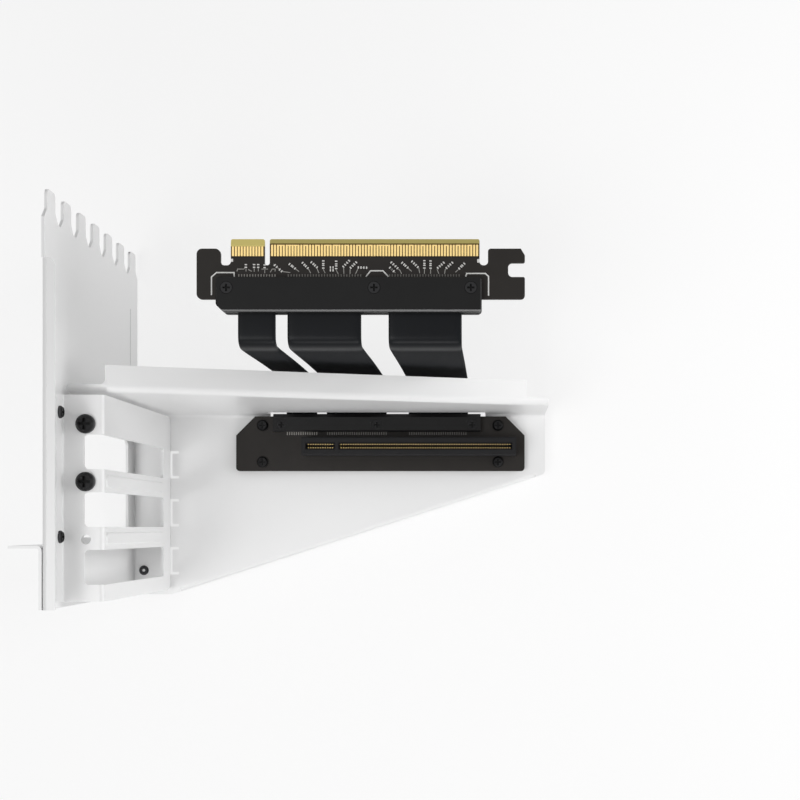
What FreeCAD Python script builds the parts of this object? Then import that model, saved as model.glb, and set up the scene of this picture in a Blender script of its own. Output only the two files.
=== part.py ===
import FreeCAD, Part
import math
import os

from FreeCAD import Vector

# Vertical mount: a folded slot plate carries a card frame and a support tray, and a
# riser of flat ribbons joins the tray's socket to an edge plug.
# Bench frame, mm: X forward from the slot plate's inner face, Y from the seat of its
# screw flange towards the main board, Z up from the plate's lowest edge.

# Driving dimensions

# Expansion-slot standard
SLOT_COUNT = 7
SLOT_PITCH = 20.32
FLANGE_REACH = 11.43
SCREW_OUT = 6.35
CASE_HOLE_D = 4.2
CARD_SLOT_COUNT = 3
CARD_HOLE_D = 3.5
SOCKET_OFFSET = 57.2

# Sheet steel
SHEET = 1.0
BEND = 0.8
SEAM_GAP = 0.3

# Slot plate
END_MARGIN = 8.5
TONGUE_REACH = 122.2
TONGUE_WIDTH = 10.0
TONGUE_TAPER = 3.2
SHOULDER_DROP = 10.2
TIP_RADIUS = 2.0
NOTCH_RADIUS = 1.4
PLATE_DROP = 22.0
LIP = 3.6
LIP_ROOT = 4.0
LIP_INSET = 14.0
LIP_CORNER = 2.8
CREASE_LINE = 12.8
CREASE_WIDTH = 0.6
CREASE_DEPTH = 0.5
PORT_WIDTH = 40.0
PORT_START = 2.5
PORT_BOTTOM = 17.0
PORT_DROP = 4.0
PORT_RADIUS = 3.0
SHELF_REACH = 12.0
SHELF_INSET = 2.0

# Card frame
FRAME_SETBACK = 15.65
FRAME_START = -19.9
FRAME_WIDTH = 72.8
RAIL_DROP = 18.92
UPSTAND = 8.0
CARD_OPENING = 12.2
OPENING_CENTRE = 32.8
OPENING_BOTTOM = 21.0
OPENING_WRAP = 7.05
OPENING_RADIUS = 1.5
CARD_SCREW_SIDE = 9.8
CARD_SCREW_BACK = 6.5
COLLAR_D = 5.6
COLLAR_HEIGHT = 2.0
BEAD_WIDTH = 4.5
BEAD_HEIGHT = 0.5
BEAD_MARGIN = 4.0
FOOT_TAB_WIDTH = 6.0
FRAME_CORNER = 4.0
FRAME_SCREW_INSET = 6.4
FRAME_SCREW_SPAN = 43.6

# Support tray
FLOOR_TOP = 7.0
TRAY_END = 174.2
TRAY_NOSE = 16.2
TRAY_END_FRONT = 29.0
WALL_FACE = 54.2
WALL_DROP = 3.6
WALL_LEVEL = 15.6
WALL_END_TOP = 54.3
WALL_BEND = 1.6
TOP_FLANGE = 8.5
TOP_FLANGE_START = 15.0
TOP_FLANGE_STOP = 9.5
NECK_FLANGE = 1.9
FLANGE_CORNER = 1.5
EDGE_FLANGE = 6.0
EDGE_MARGIN = 4.0
FOLD_ROOT = 6.0
CABLE_DOOR_START = 58.0
CABLE_DOOR_END = 149.0
CABLE_DOOR_TOP = 17.0
END_FLANGE = 10.7
END_FLANGE_BOTTOM = 17.0
END_FLANGE_DROP = 10.4
TONGUE_SLOT_LENGTH = 11.7
TONGUE_SLOT_WIDTH = 3.8
TONGUE_SLOT_CUT = 1.1
TONGUE_SLOT_RADIUS = 0.45
TONGUE_SLOT_SETBACK = 0.25

# Riser boards, plug and covers
BOARD = 1.6
PLUG_TOP = 136.0
PLUG_START = 51.15
PLUG_END = 163.25
PLUG_BACK = 84.1
PLUG_TIP = 104.7
LOBE_TOP = 101.4
LOBE_LEFT = 8.2
LOBE_RIGHT = 12.6
LOBE_RADIUS = 1.9
LOBE_RIGHT_RADIUS = 1.0
LOBE_CLIP_X = 1.4
LOBE_CLIP_Y = 2.3
EDGE_START = 62.85
EDGE_SHORT = 11.5
EDGE_KEY = 1.8
EDGE_LONG = 71.6
EDGE_CORNER = 0.6
EDGE_NOTCH_BOTTOM = 95.7
EDGE_NOTCH_RADIUS = 1.3
EDGE_BEVEL = 2.0
EDGE_BEVEL_DEPTH = 0.45
HOOK_BOTTOM = 91.7
HOOK_TOP = 96.5
HOOK_DEPTH = 5.7
HOOK_RADIUS = 1.4
HOOK_TIP_RADIUS = 0.6
CONTACT_PITCH = 1.0
CONTACT_WIDTH = 0.7
CONTACT_FOOT = 98.8
CONTACT_SHORT_SETBACK = 0.6
CONTACT_THICKNESS = 0.1
SHORT_CONTACT_COUNT = 11
LONG_CONTACT_COUNT = 71
COVER_START = 58.2
COVER_MARGIN = 6.8
COVER_BACK = 79.3
COVER_FRONT = 91.3
COVER_THICKNESS = 3.5
COVER_BEVEL = 0.8
COVER_EASE = 0.4
COVER_RADIUS = 1.5
COVER_CLIP = 2.6
COVER_SCREW_INSET = 3.65
COVER_SCREW_SIDE = 3.7

# Ribbons: start and end along X, and the folded route that they share
RIBBONS = {
    "ribbon_left": (65.2, 78.1),
    "ribbon_middle": (82.1, 107.35),
    "ribbon_right": (116.65, 141.7),
}
RIBBON_THICKNESS = 1.6
RIBBON_DROP_LINE = 68.3
RIBBON_FOLD = 4.0

# Socket on the tray
STANDOFF = 2.0
STANDOFF_D = 5.0
STANDOFF_HOLE_D = 2.5
SOCKET_BOARD_START = 44.0
SOCKET_BOARD_END = 165.5
SOCKET_BOARD_DEPTH = 23.0
SOCKET_BOARD_GAP = 1.2
SOCKET_BOARD_CHAMFER = 8.0
SOCKET_BOARD_RADIUS = 1.5
SOCKET_LENGTH = 89.0
SOCKET_WIDTH = 7.5
SOCKET_HEIGHT = 11.25
SOCKET_LINE = 13.0
SOCKET_END_WALL = 1.65
SOCKET_SHORT = 12.15
SOCKET_KEY = 1.55
SOCKET_GAP = 1.8
SOCKET_LEAD = 0.6
SOCKET_LEAD_DEPTH = 0.8
SOCKET_EASE = 0.6
SOCKET_SLOT_DEPTH = 8.4
CHAMBER_WIDTH = 0.6
CHAMBER_DEPTH = 1.2
SPRING_WIDTH = 0.4
SPRING_THICKNESS = 0.3
SPRING_BOW = 0.35
SPRING_TIP = 1.6
CLAMP_START = 60.0
CLAMP_END = 147.0
CLAMP_DEPTH = 7.4
CLAMP_HEIGHT = 3.5
CLAMP_BEVEL = 1.4
CLAMP_SCREW_INSET = 3.5
BOARD_SCREW_INSET = 11.2
BOARD_SCREW_EDGE = 3.8

# Fasteners
CARD_SCREW_HEAD_D = 6.8
CARD_SCREW_HEAD = 2.4
CARD_SCREW_LENGTH = 5.0
FRAME_SCREW_HEAD_D = 4.4
FRAME_SCREW_HEAD = 1.4
FRAME_SCREW_D = 2.4
CLAMP_SCREW_HEAD_D = 4.2
CLAMP_SCREW_D = 2.0
BOARD_SCREW_HEAD_D = 4.6
BOARD_SCREW_HEAD = 1.7
BOARD_SCREW_D = 2.3
RIVET_HEAD_D = 4.1
RIVET_HEAD = 0.8
RIVET_D = 3.0
RIVET_BULB_D = 4.2
RIVET_BULB = 1.3
MANDREL_D = 1.6
MANDREL_RECESS = 0.5
RIVET_OUT = 4.35
RIVET_INSET = 10.1
SHANK_PLAY = 0.1

# Shares of a fastener's own head: cross recess, domes and crowns
RECESS_REACH_RATIO = 0.3
RECESS_BLADE_RATIO = 0.08
RECESS_DEPTH_RATIO = 0.18
PAN_CROWN_RATIO = 0.72
PAN_RIM_RATIO = 0.45
RIVET_CROWN_RATIO = 0.75

# Derived places

SLOT_ZS = [END_MARGIN + i * SLOT_PITCH for i in range(SLOT_COUNT)]
PLATE_HEIGHT = SLOT_ZS[-1] + END_MARGIN
RAIL_TOP = PLATE_HEIGHT - RAIL_DROP
PORT_TOP = RAIL_TOP - PORT_DROP
WALL_TOP = RAIL_TOP - WALL_DROP
END_FLANGE_TOP = WALL_TOP - END_FLANGE_DROP
SHOULDER = TONGUE_REACH - SHOULDER_DROP
LIP_END = SHOULDER - LIP_INSET
SHELF_TOP = FLOOR_TOP - SHEET
WALL_BACK = WALL_FACE + SHEET
FRAME_INNER = FRAME_SETBACK - SHEET
FRAME_STOP = FRAME_START + FRAME_WIDTH
FRAME_SCREW_Z = RAIL_TOP + UPSTAND / 2
FRAME_SCREW_TOP_Y = FRAME_STOP - FRAME_SCREW_INSET
FRAME_SCREW_YS = (FRAME_SCREW_TOP_Y - FRAME_SCREW_SPAN, FRAME_SCREW_TOP_Y)
OPENING_YS = [OPENING_CENTRE - i * SLOT_PITCH for i in range(CARD_SLOT_COUNT)]
CARD_SCREW_YS = [y + CARD_SCREW_SIDE for y in OPENING_YS]
CARD_SCREW_X = FRAME_SETBACK - CARD_SCREW_BACK
LAND_YS = [(a + b) / 2 for a, b in zip(OPENING_YS, OPENING_YS[1:])]
TRAY_START = BEND + SEAM_GAP
TRAY_FRONT = -PLATE_DROP
SHELF_START = TRAY_FRONT + SHELF_INSET
SHELF_STOP = WALL_FACE - SHELF_INSET
RIVET_YS = (TRAY_FRONT + RIVET_INSET, WALL_FACE - RIVET_INSET)
EDGE_LENGTH = math.hypot(TRAY_END - TRAY_NOSE, TRAY_END_FRONT - TRAY_FRONT)
EDGE_ANGLE = math.degrees(math.atan2(TRAY_END_FRONT - TRAY_FRONT, TRAY_END - TRAY_NOSE))
SLOPE_LENGTH = math.hypot(TRAY_END - WALL_LEVEL, WALL_TOP - WALL_END_TOP)
SLOPE_ANGLE = math.degrees(math.atan2(WALL_TOP - WALL_END_TOP, TRAY_END - WALL_LEVEL))
END_RIVET_Y = WALL_FACE - END_FLANGE / 2
END_RIVET_STEP = (END_FLANGE_TOP - END_FLANGE_BOTTOM) / 5
END_RIVET_ZS = (END_FLANGE_BOTTOM + END_RIVET_STEP, END_FLANGE_TOP - END_RIVET_STEP)

PLUG_BOTTOM = PLUG_TOP - BOARD
EDGE_KEY_START = EDGE_START + EDGE_SHORT
EDGE_LONG_START = EDGE_KEY_START + EDGE_KEY
EDGE_STOP = EDGE_LONG_START + EDGE_LONG
COVER_END = RIBBONS["ribbon_right"][1] + COVER_MARGIN
COVER_SCREWS = (
    COVER_START + COVER_SCREW_INSET,
    (RIBBONS["ribbon_middle"][1] + RIBBONS["ribbon_right"][0]) / 2,
    COVER_END - COVER_SCREW_INSET,
)
COVER_SCREW_Y = COVER_FRONT - COVER_SCREW_SIDE
COVER_TOP = PLUG_TOP + COVER_THICKNESS
COVER_BOTTOM = PLUG_BOTTOM - COVER_THICKNESS

SOCKET_BOARD_BACK = WALL_FACE - SOCKET_BOARD_GAP
SOCKET_BOARD_FRONT = SOCKET_BOARD_BACK - SOCKET_BOARD_DEPTH
SOCKET_BOARD_BASE = FLOOR_TOP + STANDOFF
SOCKET_BOARD_TOP = SOCKET_BOARD_BASE + BOARD
SOCKET_START = FRAME_SETBACK + SOCKET_OFFSET
SOCKET_Y = SOCKET_BOARD_BACK - SOCKET_LINE
SOCKET_TOP = SOCKET_BOARD_TOP + SOCKET_HEIGHT
SOCKET_SHORT_START = SOCKET_START + SOCKET_END_WALL
SOCKET_LONG_START = SOCKET_SHORT_START + SOCKET_SHORT + SOCKET_KEY
SOCKET_LONG_STOP = SOCKET_START + SOCKET_LENGTH - SOCKET_END_WALL
CLAMP_BACK = WALL_FACE - SEAM_GAP
CLAMP_FRONT = CLAMP_BACK - CLAMP_DEPTH
CLAMP_SCREW_Y = SOCKET_BOARD_BACK - CLAMP_DEPTH / 2
CLAMP_SCREW_XS = (
    CLAMP_START + CLAMP_SCREW_INSET,
    (CLAMP_START + CLAMP_END) / 2,
    CLAMP_END - CLAMP_SCREW_INSET,
)
BOARD_SCREW_XS = (SOCKET_BOARD_START + BOARD_SCREW_INSET, SOCKET_BOARD_END - BOARD_SCREW_INSET)
BOARD_SCREW_YS = (SOCKET_BOARD_FRONT + BOARD_SCREW_EDGE, SOCKET_BOARD_BACK - BOARD_SCREW_EDGE)
BOARD_SCREWS = [(x, y) for x in BOARD_SCREW_XS for y in BOARD_SCREW_YS]
RIBBON_TOP_LINE = PLUG_TOP - BOARD / 2
RIBBON_FOOT_LINE = SOCKET_BOARD_TOP - BOARD / 2

# Moves the bench frame's zero to the row's: middle of the case-screw row, on the flange's seat
ORIGIN = Vector(SHEET + SCREW_OUT, 0, -PLATE_HEIGHT / 2)


# Shared shapes

def spot(plane, u, v, w):
    """Point at (u, v) on a plane, w along its normal."""
    if plane == "XY":
        return Vector(u, v, w)
    if plane == "XZ":
        return Vector(u, w, v)
    return Vector(w, u, v)


def outline(plane, corners, w):
    """Closed wire through corners (u, v) or (u, v, radius), rounded with tangent arcs."""
    points = [spot(plane, c[0], c[1], w) for c in corners]
    radii = [c[2] if len(c) > 2 else 0 for c in corners]
    starts, arcs = [], []
    for i, (here, radius) in enumerate(zip(points, radii)):
        if radius <= 0:
            starts.append((here, here))
            arcs.append(None)
            continue
        back = (points[i - 1] - here).normalize()
        ahead = (points[(i + 1) % len(points)] - here).normalize()
        half = back.getAngle(ahead) / 2
        reach = radius / math.tan(half)
        first, last = here + back * reach, here + ahead * reach
        middle = here + (back + ahead).normalize() * (radius / math.sin(half) - radius)
        starts.append((first, last))
        arcs.append(Part.Arc(first, middle, last).toShape())
    edges = []
    for i, arc in enumerate(arcs):
        if arc:
            edges.append(arc)
        leave, arrive = starts[i][1], starts[(i + 1) % len(starts)][0]
        if leave.distanceToPoint(arrive) > 1e-6:
            edges.append(Part.LineSegment(leave, arrive).toShape())
    return Part.Wire(edges)


def prism(plane, corners, start, stop):
    """Rounded outline on a plane, drawn out from start to stop along its normal."""
    face = Part.Face(outline(plane, corners, start))
    return face.extrude(spot(plane, 0, 0, stop - start))


def block(x0, x1, y0, y1, z0, z1):
    return Part.makeBox(x1 - x0, y1 - y0, z1 - z0, Vector(x0, y0, z0))


def rounded(u0, u1, v0, v1, radius):
    """Corners of a rectangle with one radius."""
    return [(u0, v0, radius), (u1, v0, radius), (u1, v1, radius), (u0, v1, radius)]


def outside_corner(x, y, radius, z0, z1):
    """Cutter that rounds the corner where two edges end at x and y."""
    square = block(x - radius, x + SHEET, y - radius, y + SHEET, z0, z1)
    return square.cut(at(rod(2 * radius, z0, z1), x - radius, y - radius, 0))


def sheet_section(path, bend=BEND):
    """Corners of a folded sheet's section: one face follows the path, the sheet is on its left."""
    steps = [Vector(b[0] - a[0], b[1] - a[1], 0).normalize() for a, b in zip(path, path[1:])]
    near, far = [path[0]], []
    left = Vector(-steps[0].y, steps[0].x, 0) * SHEET
    far.append((path[0][0] + left.x, path[0][1] + left.y))
    for here, before, after in zip(path[1:-1], steps, steps[1:]):
        turn = before.x * after.y - before.y * after.x
        inner, outer = bend, bend + SHEET
        shift = Vector(-before.y - after.y, before.x + after.x, 0) * SHEET
        near.append((*here, outer if turn > 0 else inner))
        far.append((here[0] + shift.x, here[1] + shift.y, inner if turn > 0 else outer))
    left = Vector(-steps[-1].y, steps[-1].x, 0) * SHEET
    near.append(path[-1])
    far.append((path[-1][0] + left.x, path[-1][1] + left.y))
    return near + far[::-1]


def folded(plane, path, start, stop, bend=BEND):
    """Folded sheet: its section on a plane, drawn out along the plane's normal."""
    return prism(plane, sheet_section(path, bend), start, stop)


def rod(d, start, stop, axis="Z"):
    """Cylinder along an axis through the origin."""
    direction = {"X": Vector(1, 0, 0), "Y": Vector(0, 1, 0), "Z": Vector(0, 0, 1)}[axis]
    return Part.makeCylinder(d / 2, stop - start, direction * start, direction)


def turned(profile):
    """Solid of revolution about Z from (radius, height) corners."""
    points = [Vector(r, 0, z) for r, z in profile]
    wire = Part.makePolygon(points + points[:1])
    return Part.Face(wire).revolve(Vector(0, 0, 0), Vector(0, 0, 1), 360)


def at(shape, x, y, z):
    """Copy of a shape moved to a place."""
    moved = shape.copy()
    moved.translate(Vector(x, y, z))
    return moved


def along_x(shape):
    """Copy of a shape turned so that its +Z points along +X."""
    moved = shape.copy()
    moved.rotate(Vector(0, 0, 0), Vector(0, 1, 0), 90)
    return moved


def cross_recess(head_d, top):
    """Two crossed blades that sink a cross recess into a screw head."""
    reach, half = head_d * RECESS_REACH_RATIO, head_d * RECESS_BLADE_RATIO
    floor = top - head_d * RECESS_DEPTH_RATIO
    blade = block(-reach, reach, -half, half, floor, top + SHEET)
    return blade.fuse(block(-half, half, -reach, reach, floor, top + SHEET))


def pan_screw(head_d, head, shank_d, length):
    """Pan-head screw on Z: its head seats at zero and its shank points down."""
    r, s = head_d / 2, shank_d / 2
    profile = [
        (0, head), (r * PAN_CROWN_RATIO, head), (r, head * PAN_RIM_RATIO), (r, 0),
        (s, 0), (s, -length), (0, -length),
    ]
    return turned(profile).cut(cross_recess(head_d, head))


def flush_screw(head_d, shank_d, length):
    """Countersunk screw on Z: its flat head ends at zero and its shank points down."""
    r, s = head_d / 2, shank_d / 2
    profile = [(0, 0), (r, 0), (s, s - r), (s, -length), (0, -length)]
    return turned(profile).cut(cross_recess(head_d, 0))


def countersink(head_d, shank_d, depth):
    """Cutter for a countersunk screw and its clearance hole, from the surface at zero."""
    r, s = head_d / 2 + SHANK_PLAY, shank_d / 2 + SHANK_PLAY
    return turned([(0, SHEET), (r, SHEET), (r, 0), (s, s - r), (s, -depth), (0, -depth)])


def blind_rivet(grip):
    """Set blind rivet on Z: domed head from zero up, shank through the grip, bulb below it."""
    r, s, b, m = RIVET_HEAD_D / 2, RIVET_D / 2, RIVET_BULB_D / 2, MANDREL_D / 2
    profile = [
        (0, RIVET_HEAD - MANDREL_RECESS), (m, RIVET_HEAD - MANDREL_RECESS), (m, RIVET_HEAD),
        (r * RIVET_CROWN_RATIO, RIVET_HEAD), (r, 0), (s, 0), (s, -grip), (b, -grip),
        (m, -grip - RIVET_BULB), (0, -grip - RIVET_BULB),
    ]
    return turned(profile)


# Sheet-metal pieces

def slot_plate():
    """Flat plate with slot tongues, a folded lip, a shelf, a crease and the port opening."""
    comb = []
    for z in SLOT_ZS:
        side = [
            (SHOULDER, z - END_MARGIN, NOTCH_RADIUS),
            (SHOULDER + TONGUE_TAPER, z - TONGUE_WIDTH / 2, NOTCH_RADIUS),
            (TONGUE_REACH, z - TONGUE_WIDTH / 2, TIP_RADIUS),
        ]
        comb += side + [(y, 2 * z - height, r) for y, height, r in side[::-1]]
    comb[0], comb[-1] = comb[0][:2], comb[-1][:2]
    low = SHELF_TOP - SHEET
    foot = [(-PLATE_DROP, PLATE_HEIGHT), (-PLATE_DROP, low), (WALL_BACK, low), (WALL_BACK, 0)]
    plate = prism("YZ", foot + comb, -SHEET, 0)

    lip = [(0, PLATE_HEIGHT - LIP_ROOT), (0, PLATE_HEIGHT - SHEET), (LIP, PLATE_HEIGHT - SHEET)]
    shelf = [(SHELF_REACH, SHELF_TOP), (0, SHELF_TOP), (0, SHELF_TOP + LIP_ROOT)]
    folds = [
        (lip, -PLATE_DROP, LIP_END, PLATE_HEIGHT - LIP_ROOT, PLATE_HEIGHT),
        (shelf, SHELF_START, SHELF_STOP, SHELF_TOP - SHEET, SHELF_TOP + LIP_ROOT),
    ]
    for path, y0, y1, z0, z1 in folds:
        plate = plate.cut(block(-SHEET, 0, y0, y1, z0, z1)).fuse(folded("XZ", path, y0, y1))

    port = rounded(PORT_START, PORT_START + PORT_WIDTH, PORT_BOTTOM, PORT_TOP, PORT_RADIUS)
    half = CREASE_WIDTH / 2
    crease = rounded(WALL_BACK + SEAM_GAP, LIP_END, CREASE_LINE - half, CREASE_LINE + half, half)
    cuts = [
        prism("YZ", port, -2 * SHEET, SHEET),
        prism("YZ", crease, -CREASE_DEPTH, SHEET),
        outside_corner(LIP, LIP_END, LIP_CORNER, PLATE_HEIGHT - 2 * SHEET, PLATE_HEIGHT + SHEET),
    ]
    hole = rod(FRAME_SCREW_D + 2 * SHANK_PLAY, -2 * SHEET, SHEET, "X")
    cuts += [at(hole, 0, y, FRAME_SCREW_Z) for y in FRAME_SCREW_YS]
    hole = rod(RIVET_D + 2 * SHANK_PLAY, -2 * SHEET, SHEET, "X")
    cuts += [at(hole, 0, END_RIVET_Y, z) for z in END_RIVET_ZS]
    hole = rod(RIVET_D + 2 * SHANK_PLAY, -2 * SHEET, SHEET)
    cuts += [at(hole, RIVET_OUT, y, SHELF_TOP) for y in RIVET_YS]
    return plate.cut(cuts).removeSplitter()


def screw_flange():
    """Angle strip welded to the plate's rear face, with one case-screw hole per slot."""
    path = [(-SHEET, -PLATE_DROP), (-SHEET, 0), (-SHEET - FLANGE_REACH, 0)]
    strip = folded("XY", path, 0, PLATE_HEIGHT)
    hole = rod(CASE_HOLE_D, -2 * SHEET, SHEET, "Y")
    return strip.cut([at(hole, -SHEET - SCREW_OUT, 0, z) for z in SLOT_ZS])


def bead(y, z0, z1, base, height):
    """Pressed bead with round ends and sloped flanks, standing up from a face along +X."""
    wires = []
    for half, x in ((BEAD_WIDTH / 2, base), (BEAD_WIDTH / 2 - BEAD_HEIGHT, base + height)):
        corners = rounded(y - half, y + half, z0 - half, z1 + half, half)
        wires.append(outline("YZ", corners, x))
    return Part.makeLoft(wires, True, True)


def card_frame():
    """Folded frame: upstand, rail and side wall, with slot openings, collars and beads."""
    foot = FLOOR_TOP + SEAM_GAP
    rail = RAIL_TOP - SHEET
    path = [(0, RAIL_TOP + UPSTAND), (0, rail), (FRAME_INNER, rail), (FRAME_INNER, foot)]
    frame = folded("XZ", path, FRAME_START, FRAME_STOP)
    corner = [
        (FRAME_START, foot, FRAME_CORNER), (FRAME_STOP, foot, FRAME_CORNER),
        (FRAME_STOP, RAIL_TOP + UPSTAND), (FRAME_START, RAIL_TOP + UPSTAND),
    ]
    frame = frame.common(prism("YZ", corner, -SHEET, FRAME_SETBACK + SHEET))

    half = FOOT_TAB_WIDTH / 2
    tabs = [block(FRAME_INNER, FRAME_SETBACK, y - half, y + half, SHELF_TOP, foot + SHEET) for y in LAND_YS]
    collar = rod(COLLAR_D, rail - COLLAR_HEIGHT, rail + SHEET / 2)
    collars = [at(collar, CARD_SCREW_X, y, 0) for y in CARD_SCREW_YS]
    bead_low, bead_high = OPENING_BOTTOM + BEAD_MARGIN, RAIL_TOP - BEAD_MARGIN - SEAM_GAP
    beads = [bead(y, bead_low, bead_high, FRAME_SETBACK, BEAD_HEIGHT) for y in LAND_YS]
    frame = frame.fuse(tabs + collars + beads)

    cuts = [bead(y, bead_low, bead_high, FRAME_INNER, BEAD_HEIGHT) for y in LAND_YS]
    for y in OPENING_YS:
        y0, y1 = y - CARD_OPENING / 2, y + CARD_OPENING / 2
        wall = rounded(y0, y1, OPENING_BOTTOM, RAIL_TOP + UPSTAND, OPENING_RADIUS)
        cuts.append(prism("YZ", wall, FRAME_SETBACK - OPENING_WRAP / 2, FRAME_SETBACK + SHEET))
        wrap = rounded(FRAME_SETBACK - OPENING_WRAP, FRAME_SETBACK + OPENING_WRAP, y0, y1, OPENING_RADIUS)
        cuts.append(prism("XY", wrap, rail - SHEET, RAIL_TOP + SHEET))
    hole = rod(CARD_HOLE_D, rail - 2 * COLLAR_HEIGHT, RAIL_TOP + SHEET)
    cuts += [at(hole, CARD_SCREW_X, y, 0) for y in CARD_SCREW_YS]
    hole = rod(FRAME_SCREW_D + 2 * SHANK_PLAY, -SHEET, 2 * SHEET, "X")
    cuts += [at(hole, 0, y, FRAME_SCREW_Z) for y in FRAME_SCREW_YS]
    return frame.cut(cuts).removeSplitter()


def tray_edge_fold():
    """The floor's slanting front edge, folded down: (band to remove, folded strip)."""
    start, stop = EDGE_MARGIN, EDGE_LENGTH - EDGE_MARGIN
    path = [(SHEET, FLOOR_TOP - EDGE_FLANGE), (SHEET, SHELF_TOP), (FOLD_ROOT, SHELF_TOP)]
    band = block(start, stop, -SHEET, FOLD_ROOT, SHELF_TOP - SHEET, FLOOR_TOP + SHEET)
    strip = folded("YZ", path, start, stop)
    for shape in (band, strip):
        shape.rotate(Vector(0, 0, 0), Vector(0, 0, 1), EDGE_ANGLE)
        shape.translate(Vector(TRAY_NOSE, TRAY_FRONT, 0))
    return band, strip


def at_knee(shape, angle):
    """Turns a shape about Y and moves it to the knee of the wall's top edge."""
    shape.rotate(Vector(0, 0, 0), Vector(0, 1, 0), angle)
    shape.translate(Vector(WALL_LEVEL, 0, WALL_TOP))
    return shape


def tray_top_fold():
    """The wall's top edge, folded outwards: (band to remove, folded strip) of its level and its slope."""
    reach, neck = WALL_BACK + TOP_FLANGE, WALL_BACK + NECK_FLANGE
    low, high = WALL_FACE - SHEET, reach + SHEET
    path = [(WALL_BACK, -FOLD_ROOT), (WALL_BACK, -SHEET), (reach, -SHEET)]
    first, widening = TRAY_START - WALL_LEVEL, TOP_FLANGE_START - WALL_LEVEL
    narrowing, overrun = SLOPE_LENGTH - TOP_FLANGE_STOP, SLOPE_LENGTH + FOLD_ROOT
    level = [
        (first, low), (FOLD_ROOT, low), (FOLD_ROOT, high), (widening, high),
        (widening, neck, FLANGE_CORNER), (first, neck, FLANGE_CORNER),
    ]
    slope = [
        (-FOLD_ROOT, low), (overrun, low), (overrun, neck),
        (narrowing, neck, FLANGE_CORNER), (narrowing, high), (-FOLD_ROOT, high),
    ]
    past_end = block(TRAY_END, TRAY_END + 2 * FOLD_ROOT, low, high, 0, WALL_TOP)
    pairs = []
    for plan, angle, waste in ((level, 0, (0, 2 * FOLD_ROOT)), (slope, SLOPE_ANGLE, (-2 * FOLD_ROOT, 0))):
        start, stop = plan[0][0], plan[1][0]
        mitre = at_knee(block(*waste, low, high, -2 * FOLD_ROOT, 2 * FOLD_ROOT), SLOPE_ANGLE / 2)
        band = at_knee(block(start, stop, low, WALL_BACK + SHEET, -FOLD_ROOT, FOLD_ROOT), angle)
        strip = folded("YZ", path, start, stop, WALL_BEND)
        strip = at_knee(strip.common(prism("XY", plan, -2 * FOLD_ROOT, SHEET)), angle)
        pairs.append((band.cut(mitre), strip.cut([mitre, past_end])))
    return pairs


def tongue_slot(y):
    """C-shaped cut that leaves a small spring tab for the foot of a slot bracket."""
    x0 = FRAME_SETBACK - TONGUE_SLOT_SETBACK
    x1 = x0 + TONGUE_SLOT_WIDTH
    y0, y1 = y - TONGUE_SLOT_LENGTH / 2, y + TONGUE_SLOT_LENGTH / 2
    cut = TONGUE_SLOT_CUT
    slot = prism("XY", rounded(x0, x1, y0, y1, TONGUE_SLOT_RADIUS), SHELF_TOP - SHEET, FLOOR_TOP + SHEET)
    tab = rounded(x0 + cut, x1 + cut, y0 + cut, y1 - cut, TONGUE_SLOT_RADIUS)
    return slot.cut(prism("XY", tab, SHELF_TOP - 2 * SHEET, FLOOR_TOP + 2 * SHEET))


def support_tray():
    """One folded sheet: tapering floor, sloped wall, end flange and stiffened edges."""
    section = [(TRAY_FRONT, SHELF_TOP), (WALL_BACK, SHELF_TOP), (WALL_BACK, WALL_TOP)]
    tray = folded("YZ", section, TRAY_START, TRAY_END, WALL_BEND)
    plan = [
        (TRAY_START, TRAY_FRONT), (TRAY_NOSE, TRAY_FRONT), (TRAY_END, TRAY_END_FRONT, EDGE_MARGIN / 2),
        (TRAY_END, WALL_BACK), (TRAY_START, WALL_BACK),
    ]
    side = [
        (TRAY_START, SHELF_TOP), (TRAY_END, SHELF_TOP), (TRAY_END, WALL_END_TOP),
        (WALL_LEVEL, WALL_TOP), (TRAY_START, WALL_TOP),
    ]
    tray = tray.common(prism("XY", plan, SHELF_TOP, WALL_TOP))
    tray = tray.common(prism("XZ", side, TRAY_FRONT, WALL_BACK))
    bands, strips = zip(tray_edge_fold(), *tray_top_fold())
    tray = tray.cut(list(bands)).fuse(list(strips))
    band = block(0, FOLD_ROOT, WALL_FACE - SHEET, WALL_BACK, END_FLANGE_BOTTOM, END_FLANGE_TOP)
    path = [(FOLD_ROOT, WALL_BACK), (0, WALL_BACK), (0, WALL_FACE - END_FLANGE)]
    tray = tray.cut(band).fuse(folded("XY", path, END_FLANGE_BOTTOM, END_FLANGE_TOP))

    door = rounded(CABLE_DOOR_START, CABLE_DOOR_END, SHELF_TOP - EDGE_FLANGE, CABLE_DOOR_TOP, WALL_BEND)
    cuts = [prism("XZ", door, WALL_FACE - WALL_BEND - SHEET, WALL_BACK + SHEET)]
    cuts += [tongue_slot(y) for y in OPENING_YS]
    half = FOOT_TAB_WIDTH / 2 + SHANK_PLAY
    x0, x1 = FRAME_INNER - SHANK_PLAY, FRAME_SETBACK + SHANK_PLAY
    cuts += [block(x0, x1, y - half, y + half, SHELF_TOP - SHEET, FLOOR_TOP + SHEET) for y in LAND_YS]
    hole = rod(RIVET_D + 2 * SHANK_PLAY, SHELF_TOP - SHEET, FLOOR_TOP + SHEET)
    cuts += [at(hole, RIVET_OUT, y, 0) for y in RIVET_YS]
    hole = rod(RIVET_D + 2 * SHANK_PLAY, -SHEET, 2 * SHEET, "X")
    cuts += [at(hole, 0, END_RIVET_Y, z) for z in END_RIVET_ZS]
    return tray.cut(cuts).removeSplitter()


# Riser pieces

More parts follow.
